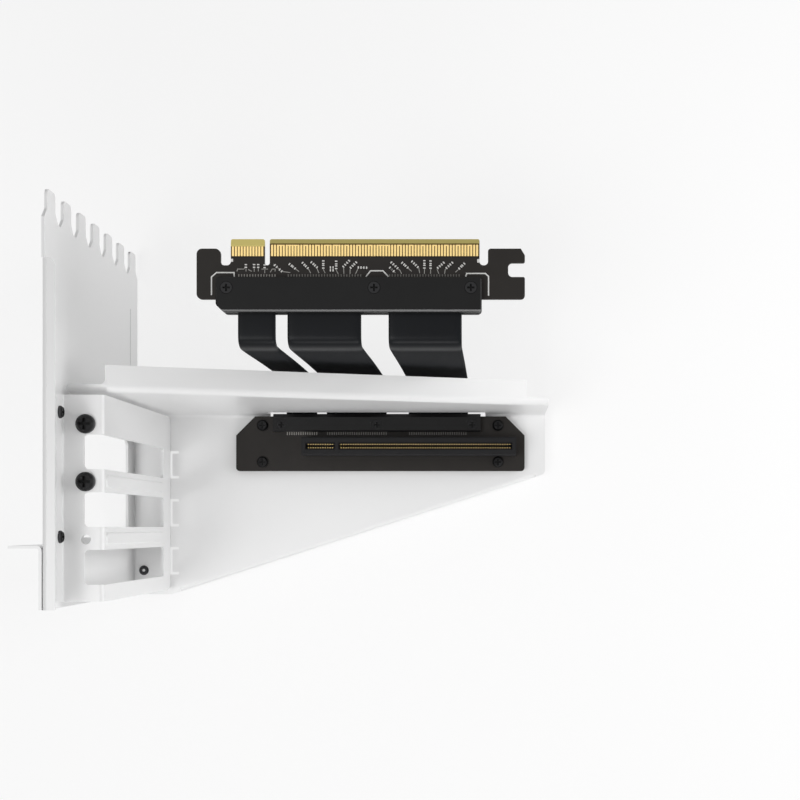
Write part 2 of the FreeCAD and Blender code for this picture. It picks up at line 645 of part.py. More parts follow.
def plug_board():
    """Edge-connector board: lobes, key notch, hook and bevelled contact edge."""
    key = EDGE_KEY / 2
    lobe, notch, bottom = PLUG_END - LOBE_RIGHT, EDGE_NOTCH_RADIUS, EDGE_NOTCH_BOTTOM
    hook = PLUG_END - HOOK_DEPTH
    corners = [
        (PLUG_START, PLUG_BACK, LOBE_RADIUS), (PLUG_END, PLUG_BACK, HOOK_RADIUS),
        (PLUG_END, HOOK_BOTTOM, HOOK_TIP_RADIUS), (hook, HOOK_BOTTOM, HOOK_RADIUS),
        (hook, HOOK_TOP, HOOK_RADIUS), (PLUG_END, HOOK_TOP, HOOK_TIP_RADIUS),
        (PLUG_END, LOBE_TOP - LOBE_CLIP_Y), (PLUG_END - LOBE_CLIP_X, LOBE_TOP),
        (lobe, LOBE_TOP, LOBE_RIGHT_RADIUS), (lobe, bottom, notch), (EDGE_STOP, bottom, notch),
        (EDGE_STOP, PLUG_TIP, EDGE_CORNER), (EDGE_LONG_START, PLUG_TIP, EDGE_CORNER),
        (EDGE_LONG_START, bottom, key), (EDGE_KEY_START, bottom, key),
        (EDGE_KEY_START, PLUG_TIP, EDGE_CORNER), (EDGE_START, PLUG_TIP, EDGE_CORNER),
        (EDGE_START, bottom, notch), (PLUG_START + LOBE_LEFT, bottom, notch),
        (PLUG_START + LOBE_LEFT, LOBE_TOP, LOBE_RADIUS), (PLUG_START, LOBE_TOP, LOBE_RADIUS),
    ]
    board = prism("XY", corners, PLUG_BOTTOM, PLUG_TOP)
    wedges = []
    for face, inward in ((PLUG_TOP, -1), (PLUG_BOTTOM, 1)):
        out, sunk = face - inward * SHEET, face + inward * EDGE_BEVEL_DEPTH
        past = PLUG_TIP + SHEET
        wedge = [(PLUG_TIP - EDGE_BEVEL, face), (past, out), (past, sunk), (PLUG_TIP, sunk)]
        wedges.append(prism("YZ", wedge, EDGE_START - SHEET, EDGE_STOP + SHEET))
    hole = rod(CLAMP_SCREW_D + 2 * SHANK_PLAY, PLUG_BOTTOM - SHEET, PLUG_TOP + SHEET)
    return board.cut(wedges + [at(hole, x, COVER_SCREW_Y, 0) for x in COVER_SCREWS])


def contact_row(start, width, count):
    """Centre of each contact in a row that sits in the middle of a width."""
    first = start + (width - (count - 1) * CONTACT_PITCH) / 2
    return [first + i * CONTACT_PITCH for i in range(count)]


def plug_contacts():
    """Gold fingers, in a short and a long row, on both faces of the plug board."""
    tip = PLUG_TIP - EDGE_BEVEL
    rows = [
        (contact_row(EDGE_START, EDGE_SHORT, SHORT_CONTACT_COUNT), tip - CONTACT_SHORT_SETBACK),
        (contact_row(EDGE_LONG_START, EDGE_LONG, LONG_CONTACT_COUNT), tip),
    ]
    half = CONTACT_WIDTH / 2
    fingers = []
    for z in (PLUG_TOP, PLUG_BOTTOM - CONTACT_THICKNESS):
        for xs, stop in rows:
            fingers += [block(x - half, x + half, CONTACT_FOOT, stop, z, z + CONTACT_THICKNESS) for x in xs]
    return Part.makeCompound(fingers)


def cover_shell(z0, z1, outer):
    """Cover plate with a clipped corner, bevelled along its cable edge and eased round its outer face."""
    plan = [
        (COVER_START + COVER_CLIP, COVER_BACK, COVER_RADIUS), (COVER_END, COVER_BACK, COVER_RADIUS),
        (COVER_END, COVER_FRONT, COVER_RADIUS), (COVER_START, COVER_FRONT, COVER_RADIUS),
        (COVER_START, COVER_BACK + COVER_CLIP, COVER_RADIUS),
    ]
    inner = z0 if outer == z1 else z1
    sink = 1 if outer == z0 else -1
    eased, bevelled = outer + sink * COVER_EASE, outer + sink * COVER_BEVEL
    across = [
        (COVER_BACK, inner), (COVER_FRONT, inner), (COVER_FRONT, eased), (COVER_FRONT - COVER_EASE, outer),
        (COVER_BACK + COVER_BEVEL, outer), (COVER_BACK, bevelled),
    ]
    along = [
        (COVER_START, inner), (COVER_END, inner), (COVER_END, eased), (COVER_END - COVER_EASE, outer),
        (COVER_START + COVER_EASE, outer), (COVER_START, eased),
    ]
    shell = prism("XY", plan, z0, z1).common(prism("YZ", across, COVER_START, COVER_END))
    return shell.common(prism("XZ", along, COVER_BACK, COVER_FRONT))


def plug_cover_top():
    """Upper clamp cover, with countersunk screw seats."""
    seat = countersink(CLAMP_SCREW_HEAD_D, CLAMP_SCREW_D, COVER_THICKNESS + SHEET)
    cover = cover_shell(PLUG_TOP, COVER_TOP, COVER_TOP)
    return cover.cut([at(seat, x, COVER_SCREW_Y, COVER_TOP) for x in COVER_SCREWS])


def plug_cover_bottom():
    """Lower clamp cover: blind screw holes, and ribs that fill between the ribbons."""
    cover = cover_shell(COVER_BOTTOM, PLUG_BOTTOM, COVER_BOTTOM)
    edges = [x for span in RIBBONS.values() for x in span]
    gaps = [COVER_START + COVER_CLIP, *edges, COVER_END - COVER_RADIUS]
    back, front = COVER_BACK + COVER_BEVEL, PLUG_BACK - SHANK_PLAY
    ribs = [
        block(a + SHANK_PLAY, b - SHANK_PLAY, back, front, PLUG_BOTTOM - SHEET, PLUG_TOP)
        for a, b in zip(gaps[::2], gaps[1::2])
    ]
    hole = rod(CLAMP_SCREW_D + 2 * SHANK_PLAY, COVER_BOTTOM + SHEET, PLUG_BOTTOM + SHEET)
    return cover.fuse(ribs).cut([at(hole, x, COVER_SCREW_Y, 0) for x in COVER_SCREWS])


def plug_cover_screws():
    """Countersunk screws through the plug's upper cover and board into the lower cover."""
    length = COVER_TOP - COVER_BOTTOM - 2 * SHEET
    screw = flush_screw(CLAMP_SCREW_HEAD_D, CLAMP_SCREW_D, length)
    return Part.makeCompound([at(screw, x, COVER_SCREW_Y, COVER_TOP) for x in COVER_SCREWS])


def ribbon(x0, x1):
    """Flat cable: out of the plug, folded down behind the wall, folded in to the socket board."""
    half = RIBBON_THICKNESS / 2
    inner, outer = RIBBON_FOLD - half, RIBBON_FOLD + half
    line, top, foot = RIBBON_DROP_LINE, RIBBON_TOP_LINE, RIBBON_FOOT_LINE
    section = [
        (PLUG_BACK, top + half), (line - half, top + half, outer), (line - half, foot + half, inner),
        (SOCKET_BOARD_BACK, foot + half), (SOCKET_BOARD_BACK, foot - half),
        (line + half, foot - half, outer), (line + half, top - half, inner), (PLUG_BACK, top - half),
    ]
    return prism("YZ", section, x0, x1)


# Socket pieces

def socket_board():
    """Board that carries the socket, with chamfered rear corners."""
    c = SOCKET_BOARD_CHAMFER
    plan = [
        (SOCKET_BOARD_START, SOCKET_BOARD_FRONT, SOCKET_BOARD_RADIUS),
        (SOCKET_BOARD_END, SOCKET_BOARD_FRONT, SOCKET_BOARD_RADIUS),
        (SOCKET_BOARD_END, SOCKET_BOARD_BACK - c), (SOCKET_BOARD_END - c, SOCKET_BOARD_BACK),
        (SOCKET_BOARD_START + c, SOCKET_BOARD_BACK), (SOCKET_BOARD_START, SOCKET_BOARD_BACK - c),
    ]
    board = prism("XY", plan, SOCKET_BOARD_BASE, SOCKET_BOARD_TOP)
    low, high = SOCKET_BOARD_BASE - SHEET, SOCKET_BOARD_TOP + SHEET
    hole = rod(BOARD_SCREW_D + 2 * SHANK_PLAY, low, high)
    cuts = [at(hole, x, y, 0) for x, y in BOARD_SCREWS]
    hole = rod(CLAMP_SCREW_D + 2 * SHANK_PLAY, low, high)
    return board.cut(cuts + [at(hole, x, CLAMP_SCREW_Y, 0) for x in CLAMP_SCREW_XS])


def socket_contact_xs():
    """Centres of the socket's contacts, in its short and its long section."""
    xs = contact_row(SOCKET_SHORT_START, SOCKET_SHORT, SHORT_CONTACT_COUNT)
    return xs + contact_row(SOCKET_LONG_START, SOCKET_LONG_STOP - SOCKET_LONG_START, LONG_CONTACT_COUNT)


def socket_housing():
    """Moulded slot: keyed groove with a chamfered mouth and one chamber per contact."""
    half, gap = SOCKET_WIDTH / 2, SOCKET_GAP / 2
    lead, lip = gap + SOCKET_LEAD, SOCKET_TOP - SOCKET_LEAD_DEPTH
    base, floor = SOCKET_BOARD_TOP, SOCKET_TOP - SOCKET_SLOT_DEPTH
    section = [
        (SOCKET_Y - half, base), (SOCKET_Y + half, base), (SOCKET_Y + half, SOCKET_TOP, SOCKET_EASE),
        (SOCKET_Y - half, SOCKET_TOP, SOCKET_EASE),
    ]
    body = prism("YZ", section, SOCKET_START, SOCKET_START + SOCKET_LENGTH)
    groove = [
        (SOCKET_Y - gap, floor), (SOCKET_Y + gap, floor), (SOCKET_Y + gap, lip),
        (SOCKET_Y + lead, SOCKET_TOP), (SOCKET_Y - lead, SOCKET_TOP), (SOCKET_Y - gap, lip),
    ]
    grooves = [
        prism("YZ", groove, SOCKET_SHORT_START, SOCKET_SHORT_START + SOCKET_SHORT),
        prism("YZ", groove, SOCKET_LONG_START, SOCKET_LONG_STOP),
    ]
    wide, deep = CHAMBER_WIDTH / 2, gap + CHAMBER_DEPTH
    chambers = Part.makeCompound([
        block(x - wide, x + wide, SOCKET_Y - deep, SOCKET_Y + deep, floor, lip) for x in socket_contact_xs()
    ])
    return body.cut(chambers.fuse(grooves)).removeSplitter()


def socket_contacts():
    """Spring contacts: strips that stand in the chambers and lean into the groove."""
    floor, tip = SOCKET_TOP - SOCKET_SLOT_DEPTH, SOCKET_TOP - SPRING_TIP
    back, bow = SOCKET_GAP / 2 + CHAMBER_DEPTH, SOCKET_GAP / 2 - SPRING_BOW
    t, half = SPRING_THICKNESS, SPRING_WIDTH / 2
    springs = []
    for side in (-1, 1):
        strip = [(back, floor), (bow + t, tip), (bow, tip), (back - t, floor)]
        section = [(SOCKET_Y + side * y, z) for y, z in strip]
        springs += [prism("YZ", section, x - half, x + half) for x in socket_contact_xs()]
    return Part.makeCompound(springs)


def socket_cover():
    """Clamp bar over the ribbons' lower ends, bevelled on top, with countersunk seats."""
    base, top = SOCKET_BOARD_TOP, SOCKET_BOARD_TOP + CLAMP_HEIGHT
    section = [
        (CLAMP_FRONT, base), (CLAMP_BACK, base), (CLAMP_BACK, top - CLAMP_BEVEL),
        (CLAMP_BACK - CLAMP_BEVEL, top), (CLAMP_FRONT + COVER_EASE, top), (CLAMP_FRONT, top - COVER_EASE),
    ]
    bar = prism("YZ", section, CLAMP_START, CLAMP_END)
    seat = countersink(CLAMP_SCREW_HEAD_D, CLAMP_SCREW_D, CLAMP_HEIGHT + SHEET)
    return bar.cut([at(seat, x, CLAMP_SCREW_Y, top) for x in CLAMP_SCREW_XS])


def socket_cover_screws():
    """Countersunk screws through the clamp bar into the socket board."""
    screw = flush_screw(CLAMP_SCREW_HEAD_D, CLAMP_SCREW_D, CLAMP_HEIGHT + BOARD)
    top = SOCKET_BOARD_TOP + CLAMP_HEIGHT
    return Part.makeCompound([at(screw, x, CLAMP_SCREW_Y, top) for x in CLAMP_SCREW_XS])


def board_standoffs():
    """Threaded stand-offs between the tray's floor and the socket board."""
    post = rod(STANDOFF_D, FLOOR_TOP, SOCKET_BOARD_BASE)
    post = post.cut(rod(STANDOFF_HOLE_D, FLOOR_TOP - SHEET, SOCKET_BOARD_BASE + SHEET))
    return Part.makeCompound([at(post, x, y, 0) for x, y in BOARD_SCREWS])


def board_screws():
    """Pan-head screws that hold the socket board on its stand-offs."""
    length = BOARD + STANDOFF - SEAM_GAP
    screw = pan_screw(BOARD_SCREW_HEAD_D, BOARD_SCREW_HEAD, BOARD_SCREW_D, length)
    return Part.makeCompound([at(screw, x, y, SOCKET_BOARD_TOP) for x, y in BOARD_SCREWS])


# Fasteners of the sheet-metal pieces

def card_screws():
    """Pan-head screws in all but the last of the rail's threaded collars."""
    screw = pan_screw(CARD_SCREW_HEAD_D, CARD_SCREW_HEAD, CARD_HOLE_D - SHANK_PLAY, CARD_SCREW_LENGTH)
    return Part.makeCompound([at(screw, CARD_SCREW_X, y, RAIL_TOP) for y in CARD_SCREW_YS[:-1]])


def frame_screws():
    """Small pan-head screws through the frame's upstand into the slot plate."""
    screw = along_x(pan_screw(FRAME_SCREW_HEAD_D, FRAME_SCREW_HEAD, FRAME_SCREW_D, 2 * SHEET))
    return Part.makeCompound([at(screw, SHEET, y, FRAME_SCREW_Z) for y in FRAME_SCREW_YS])


def tray_rivets():
    """Blind rivets through the tray's floor and the slot plate's shelf."""
    rivet = blind_rivet(2 * SHEET)
    return Part.makeCompound([at(rivet, RIVET_OUT, y, FLOOR_TOP) for y in RIVET_YS])


def wall_rivets():
    """Blind rivets through the tray wall's end flange and the slot plate."""
    rivet = along_x(blind_rivet(2 * SHEET))
    return Part.makeCompound([at(rivet, SHEET, END_RIVET_Y, z) for z in END_RIVET_ZS])


PIECES = {
    piece.__name__: piece
    for piece in (
        slot_plate, screw_flange, card_frame, support_tray,
        plug_board, plug_contacts, plug_cover_top, plug_cover_bottom, plug_cover_screws,
        socket_board, socket_housing, socket_contacts, socket_cover, socket_cover_screws,
        board_standoffs, board_screws, card_screws, frame_screws, tray_rivets, wall_rivets,
    )
}

os.makedirs("parts", exist_ok=True)
shapes = {name: make() for name, make in PIECES.items()}
shapes.update({name: ribbon(*span) for name, span in RIBBONS.items()})
for name, shape in shapes.items():
    at(shape, *ORIGIN).exportStep(f"parts/{name}.step")
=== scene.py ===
"""Looks of an upright slot mount: white powder-coated sheet, two riser boards and three flat ribbons.

The solids come packed from the CAD source. This file gives them their finishes, sweeps the ribbons anew
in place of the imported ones, and adds what is printed and soldered on the boards. Lengths are metres in
the row's own frame: X forward into the case, Y from the flange's seat towards the main board, Z up along
the row of case screws. Routes and outlines are lists of millimetres in the same frame.
"""
import functools

import bpy
import numpy as np
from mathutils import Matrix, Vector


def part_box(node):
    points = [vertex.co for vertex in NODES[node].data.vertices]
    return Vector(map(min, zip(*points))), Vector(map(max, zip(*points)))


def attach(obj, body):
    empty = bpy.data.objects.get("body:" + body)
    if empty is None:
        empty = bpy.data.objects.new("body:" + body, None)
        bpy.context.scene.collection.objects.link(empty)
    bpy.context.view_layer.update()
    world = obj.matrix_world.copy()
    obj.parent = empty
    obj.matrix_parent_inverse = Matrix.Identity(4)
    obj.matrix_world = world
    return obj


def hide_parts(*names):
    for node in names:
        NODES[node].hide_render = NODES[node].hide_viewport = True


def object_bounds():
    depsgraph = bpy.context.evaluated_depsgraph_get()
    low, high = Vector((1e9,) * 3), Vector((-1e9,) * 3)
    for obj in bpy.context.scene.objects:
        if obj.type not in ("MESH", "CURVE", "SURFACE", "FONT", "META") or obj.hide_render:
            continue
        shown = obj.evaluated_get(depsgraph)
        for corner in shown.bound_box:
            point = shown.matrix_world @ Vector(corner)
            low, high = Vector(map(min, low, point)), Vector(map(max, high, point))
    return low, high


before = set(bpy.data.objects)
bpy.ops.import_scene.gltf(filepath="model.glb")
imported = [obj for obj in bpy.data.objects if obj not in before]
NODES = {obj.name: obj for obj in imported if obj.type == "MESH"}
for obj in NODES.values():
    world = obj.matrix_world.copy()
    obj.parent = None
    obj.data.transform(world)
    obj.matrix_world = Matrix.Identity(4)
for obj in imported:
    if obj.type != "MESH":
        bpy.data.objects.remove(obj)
CAD_BOX = [list(corner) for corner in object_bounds()]

bl_info = {
    "name": "Upright slot mount",
    "version": (1, 0, 0),
    "blender": (4, 5, 0),
    "location": "View3D > Sidebar > Mount",
    "description": "Finishes, ribbons and board print of an upright slot mount, and its studio",
    "category": "Object",
}

MM = 0.001
ROOT = "root"


# Values that a user would change

def colour(name, description, default):
    """A colour property, shown as a swatch."""
    return bpy.props.FloatVectorProperty(
        name=name, description=description, default=default, size=3, min=0, max=1, subtype="COLOR")


def length(name, description, default):
    """A length property in metres."""
    return bpy.props.FloatProperty(
        name=name, description=description, default=default, min=0, precision=5, unit="LENGTH",
        subtype="DISTANCE")


class MountColours(bpy.types.PropertyGroup):
    """Base colours of the finishes, as linear values."""

    steel: colour("Powder coat", "White coat of the sheet pieces", (0.86, 0.86, 0.86))
    screw: colour("Screws", "Black oxide of the screws", (0.011, 0.011, 0.0115))
    rivet: colour("Rivets", "Rivet flange round the mandrel", (0.035, 0.035, 0.037))
    mandrel: colour("Mandrels", "Bright broken end of a rivet's mandrel", (0.6, 0.6, 0.6))
    mask: colour("Solder mask", "Warm black lacquer of the boards", (0.017, 0.0148, 0.0132))
    laminate: colour("Laminate", "Bare board between the edge contacts", (0.05, 0.022, 0.003))
    bevel: colour("Bevel", "Bare board along the plug's bevelled edge", (0.48, 0.405, 0.138))
    gold: colour("Gold", "Plating of the contacts", (1.0, 0.74, 0.3))
    cover: colour("Covers", "Moulded covers over the cable ends", (0.0095, 0.0095, 0.0096))
    ribbon: colour("Ribbons", "Jacket of the flat cables", (0.004, 0.0047, 0.006))
    socket: colour("Socket", "Moulded housing of the socket", (0.01, 0.01, 0.0108))
    standoff: colour("Spacers", "Spacers under the socket board", (0.5, 0.5, 0.5))
    ink: colour("Board print", "White lines printed on the plug's board", (0.8, 0.8, 0.78))
    trace: colour("Traces", "Pale traces that fan out from the cover", (0.36, 0.35, 0.33))
    solder: colour("Solder", "Tinned ends of the small parts", (0.72, 0.71, 0.69))
    chip: colour("Small parts", "Bodies of the small parts on the plug's board", (0.03, 0.027, 0.025))
    tail: colour("Tails", "Soldered wire tails in front of the covers", (0.12, 0.114, 0.106))


class MountSizes(bpy.types.PropertyGroup):
    """Sizes of the pieces that this file adds."""

    ribbon_thickness: length("Ribbon thickness", "Thickness of each flat cable", 1.6 * MM)
    ink_width: length("Printed line", "Width of the outlines printed on the board", 0.44 * MM)
    ink_height: length("Print height", "Height of the print above the board", 0.03 * MM)
    trace_width: length("Trace", "Width of a trace", 0.26 * MM)
    chip_length: length("Small part length", "Length of a small part over its ends", 1.3 * MM)
    chip_width: length("Small part width", "Width of a small part", 0.78 * MM)
    chip_height: length("Small part height", "Height of a small part", 0.4 * MM)
    tail_pitch: length("Tail pitch", "Distance from one soldered tail to the next", 0.95 * MM)
    tail_width: length("Tail width", "Width of a soldered tail", 0.4 * MM)
    tail_length: length("Tail length", "Reach of the tails past the covers", 1.3 * MM)
    tie_depth: length("Tie depth", "Depth of the bars that join gold contacts", 0.4 * MM)


class MountStudio(bpy.types.PropertyGroup):
    """Floor and light of the studio."""

    floor: colour("Floor", "Colour of the floor", (0.95, 0.95, 0.95))
    key_power: bpy.props.FloatProperty(
        name="Key light", description="Power of the soft light from the front left", default=4.0,
        min=0, unit="POWER")
    fill_power: bpy.props.FloatProperty(
        name="Fill light", description="Power of the weak light from the right", default=1.7,
        min=0, unit="POWER")
    front_power: bpy.props.FloatProperty(
        name="Front light", description="Power of the low light that draws the folds", default=1.5,
        min=0, unit="POWER")
    sky: bpy.props.FloatProperty(
        name="Room light", description="Level of the even light from all round", default=0.3,
        min=0, subtype="FACTOR")


# Node trees written as expressions

class Wire:
    """A node's output socket. Arithmetic on it adds Math nodes to its tree."""

    def __init__(self, tree, socket):
        self.tree = tree
        self.socket = socket

    def math(self, operation, first, second=0.0):
        return self.tree.add("ShaderNodeMath", {"operation": operation}, {0: first, 1: second})

    def __add__(self, other):
        return self.math("ADD", self, other)

    def __sub__(self, other):
        return self.math("SUBTRACT", self, other)

    def __rsub__(self, other):
        return self.math("SUBTRACT", other, self)

    def __mul__(self, other):
        return self.math("MULTIPLY", self, other)

    def __abs__(self):
        return self.math("ABSOLUTE", self)

    def __gt__(self, other):
        return self.math("GREATER_THAN", self, other)

    def __lt__(self, other):
        return self.math("LESS_THAN", self, other)

    __radd__ = __add__
    __rmul__ = __mul__


class Recipe:
    """The node tree of one material, or of the world, with its output."""

    def __init__(self, name, store="materials", output="ShaderNodeOutputMaterial"):
        self.owner = getattr(bpy.data, store).new(name)
        self.owner.use_nodes = True
        self.nodes = self.owner.node_tree.nodes
        self.links = self.owner.node_tree.links
        self.nodes.clear()
        self.output = self.nodes.new(output)

    def add(self, kind, settings=None, values=None, out=0):
        """A node of this type: its settings first, then a value or link for each socket named."""
        node = self.nodes.new(kind)
        for key, value in (settings or {}).items():
            setattr(node, key, value)
        for key, value in (values or {}).items():
            if isinstance(value, Wire):
                self.links.new(value.socket, node.inputs[key])
            else:
                node.inputs[key].default_value = value
        return Wire(self, node.outputs[out])

    def place(self):
        """Object coordinates, in metres of the row's frame."""
        return self.add("ShaderNodeTexCoord", out="Object")

    def axes(self, vector):
        """The three parts of a vector, each as a value."""
        outs = self.add("ShaderNodeSeparateXYZ", values={0: vector}).socket.node.outputs
        return [Wire(self, outs[axis]) for axis in range(3)]

    def from_axes(self, vector, keep, centres):
        """Distance from the nearest of some parallel axes. keep is 0 along them and 1 across."""
        flat = self.add("ShaderNodeVectorMath", {"operation": "MULTIPLY"}, {0: vector, 1: keep})
        gaps = [
            self.add("ShaderNodeVectorMath", {"operation": "DISTANCE"}, {0: flat, 1: centre * keep},
                     out="Value")
            for centre in centres]
        return functools.reduce(lambda first, second: first.math("MINIMUM", first, second), gaps)

    def noise(self, vector, scale, detail=2.0, roughness=0.5):
        """Cloudy noise from 0 to 1, with scale in waves per metre."""
        return self.add(
            "ShaderNodeTexNoise", {"noise_dimensions": "3D"},
            {"Vector": vector, "Scale": scale, "Detail": detail, "Roughness": roughness})

    def rise(self, value, start, end):
        """A smooth step from 0 at the start to 1 at the end."""
        return self.add(
            "ShaderNodeMapRange", {"interpolation_type": "SMOOTHSTEP"},
            {"Value": value, "From Min": start, "From Max": end})

    def blend(self, factor, first, second):
        """From the first colour to the second as the factor goes from 0 to 1."""
        return self.add(
            "ShaderNodeMix", {"data_type": "RGBA"},
            {0: factor, 6: opaque(first), 7: opaque(second)}, out=2)

    def mottle(self, factor, tint, dark, light):
        """One colour, from its dark to its light shade as the factor goes from 0 to 1."""
        return self.blend(factor, shade(tint, dark), shade(tint, light))

    def bump(self, height, strength, distance):
        """Surface normal from a height."""
        return self.add(
            "ShaderNodeBump", values={"Height": height, "Strength": strength, "Distance": distance})

    def surface(self, **sockets):
        """Ends the tree in one Principled shader and gives the material."""
        values = {
            key.replace("_", " ").title().replace("Ior", "IOR"): value for key, value in sockets.items()}
        return self.finish(self.add("ShaderNodeBsdfPrincipled", values=values))

    def seen_white(self):
        """1 for the rays that show the background: the camera's, gloss, and those through glass."""
        outs = self.add("ShaderNodeLightPath").socket.node.outputs
        camera, gloss, through = (
            Wire(self, outs[name]) for name in ("Is Camera Ray", "Is Glossy Ray", "Is Transmission Ray"))
        return camera + gloss + through

    def finish(self, shader):
        """Ends the tree in this shader and gives the material or the world."""
        self.links.new(shader.socket, self.output.inputs["Surface"])
        return self.owner


def opaque(value):
    """A colour with its fourth number, or a wire as it is."""
    return value if isinstance(value, Wire) else (*value, 1.0)


def shade(tint, gain):
    """A colour made darker or lighter by a factor."""
    return [part * gain for part in tint]


# Finishes

# The slot plate's crease, painted with a line of shade: X of its floor and the band round it, Z of its
# middle and half its width
CREASE_FLOOR = 6.85 * MM
CREASE_BELOW = 0.3 * MM
CREASE_ABOVE = 0.4 * MM
CREASE_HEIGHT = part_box("slot_plate")[0][2] + 12.8 * MM
CREASE_HALF = 0.4 * MM
CREASE_SHADE = 0.35
# Screw heads: depth below which the recess is painted black as shade, and shares of a head's radius
RECESS_DEPTH = 0.45 * MM
RECESS_REACH = 0.55
RIM_START = 0.86
RIM_FULL = 0.98
WEAR_AND_HIGHLIGHT_GAIN = 9.0
RECESS_SHADE_GAIN = 0.2
FLUSH_GAIN = 2.2
# Rivets
MANDREL_RADIUS = 0.58 * MM
MANDREL_BLUR = 0.1
# The plug's board's edge: bare margin round the contacts, the gain of the painted shade along the
# lacquer's end, and Y where the bevel starts
BARE_MARGIN = 0.4 * MM
LACQUER_END_SHADE_GAIN = 0.3
BEVEL_START = 103.15 * MM
SHORT_BEVEL_RISE = 1.0 * MM
SHORT_BEVEL_GAIN = 1.45
SHORT_ROW_END = 83.0 * MM
# Covers: width of the bevel along the cable edge, how deep its shine goes, and the gain of its painted
# highlight
COVER_BEVEL = 0.8 * MM
COVER_SHINE = 0.58 * MM
COVER_BEVEL_HIGHLIGHT_GAIN = 12.0
# Ribbons: pitch of the conductors, and Z between which the jacket turns dull
CONDUCTOR_PITCH = 0.9 * MM
FOLD_TOP = 64.0 * MM
FOLD_FOOT = 54.0 * MM


def powder_coat(colours, name, crease=False):
    """White satin powder coat: a fine orange peel, with the faintest cloud in colour and gloss.

    The slot plate's crease, a groove across its inner face, is painted with a line of shade.
    """
    r = Recipe(name)
    at = r.place()
    peel = r.noise(at, scale=1400.0, detail=3.0, roughness=0.55)
    cloud = r.noise(at, scale=38.0)
    tone = r.mottle(cloud, colours.steel, 0.975, 1.0)
    if crease:
        x, _, z = r.axes(at)
        groove = (x > CREASE_FLOOR - CREASE_BELOW) * (x < CREASE_FLOOR + CREASE_ABOVE)
        # painted shade: a dark line along the crease
        line = groove * (abs(z - CREASE_HEIGHT) < CREASE_HALF)
        tone = r.blend(line, tone, shade(colours.steel, CREASE_SHADE))
    height = peel + r.noise(at, scale=420.0, detail=1.0) * 0.8
    return r.surface(
        base_color=tone, roughness=0.26 + cloud * 0.08, coat_weight=0.12, coat_roughness=0.3,
        normal=r.bump(height, strength=0.12, distance=0.05 * MM))


def black_oxide(colours, name, node, axis, rim=None, flush=False):
    """Blackened steel: dark, half glossy, worn in patches, with a painted highlight along the rims of the
    heads.

    The cross recess, below the heads' tops along their axis, is painted black as shade. A rim is the
    heads' radius and their centres. A flush head is a shade paler than what it sits in, and its rim is
    painted dark as the shade of its gap.
    """
    r = Recipe(name)
    at = r.place()
    fine = r.noise(at, scale=2600.0, detail=3.0, roughness=0.6)
    wear_and_rim_highlight = r.rise(r.noise(at, scale=520.0), 0.5, 0.85) * 0.14
    # painted shade: the recess below the head's top is painted black
    painted_recess_shade = r.axes(at)[axis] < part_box(node)[1][axis] - RECESS_DEPTH
    if rim:
        radius, centres = rim
        out = r.from_axes(at, np.arange(3) != axis, centres)
        edge = r.rise(out, radius * RIM_START, radius * RIM_FULL)
        painted_recess_shade = painted_recess_shade * (out < radius * RECESS_REACH)
        if flush:
            # painted shade: a flush head's rim is painted dark as the shade of its gap
            painted_recess_shade = painted_recess_shade.math("MAXIMUM", painted_recess_shade, edge)
        else:
            # painted highlight: a paler ring along each head's rim, added to the patchy wear
            wear_and_rim_highlight = wear_and_rim_highlight + edge * 0.5
    tone = r.mottle(wear_and_rim_highlight, colours.screw, FLUSH_GAIN if flush else 1.0, WEAR_AND_HIGHLIGHT_GAIN)
    tone = r.blend(painted_recess_shade, tone, shade(colours.screw, RECESS_SHADE_GAIN))
    return r.surface(
        base_color=tone, metallic=0.15 + wear_and_rim_highlight * 0.5, roughness=0.36 + fine * 0.16,
        specular_ior_level=0.14, normal=r.bump(fine, strength=0.2, distance=0.03 * MM))


def rivet_metal(colours, name, axis, centres):
    """Dull dark rivet flange round the bright end of the mandrel, a small disc on the rivet's axis."""
    r = Recipe(name)
    at = r.place()
    fine = r.noise(at, scale=1800.0, detail=3.0, roughness=0.6)
    out = r.from_axes(at, np.arange(3) != axis, centres)
    flange = r.rise(out, MANDREL_RADIUS * (1 - MANDREL_BLUR), MANDREL_RADIUS * (1 + MANDREL_BLUR))
    dull = r.mottle(fine, colours.rivet, 0.7, 1.4)
    return r.surface(
        base_color=r.blend(flange, colours.mandrel, dull), metallic=0.8, roughness=0.26 + fine * 0.2,
        normal=r.bump(fine, strength=0.2, distance=0.03 * MM))


def lacquer(r, at, colours):
    """The lacquer's clouded tone, and the weave that shows faintly through it."""
    cloud = r.noise(at, scale=90.0)
    return r.mottle(cloud, colours.mask, 0.8, 1.3), r.noise(at, scale=1100.0)


def lacquered(r, tone, weave):
    """Ends a board's tree: half matt lacquer of this tone, lifted by the weave."""
    return r.surface(
        base_color=tone, roughness=0.4 + weave * 0.12, specular_ior_level=0.17,
        normal=r.bump(weave, strength=0.12, distance=0.04 * MM))


def solder_mask(colours):
    """Warm black lacquer over the weave of the board."""
    r = Recipe("solder_mask")
    return lacquered(r, *lacquer(r, r.place(), colours))


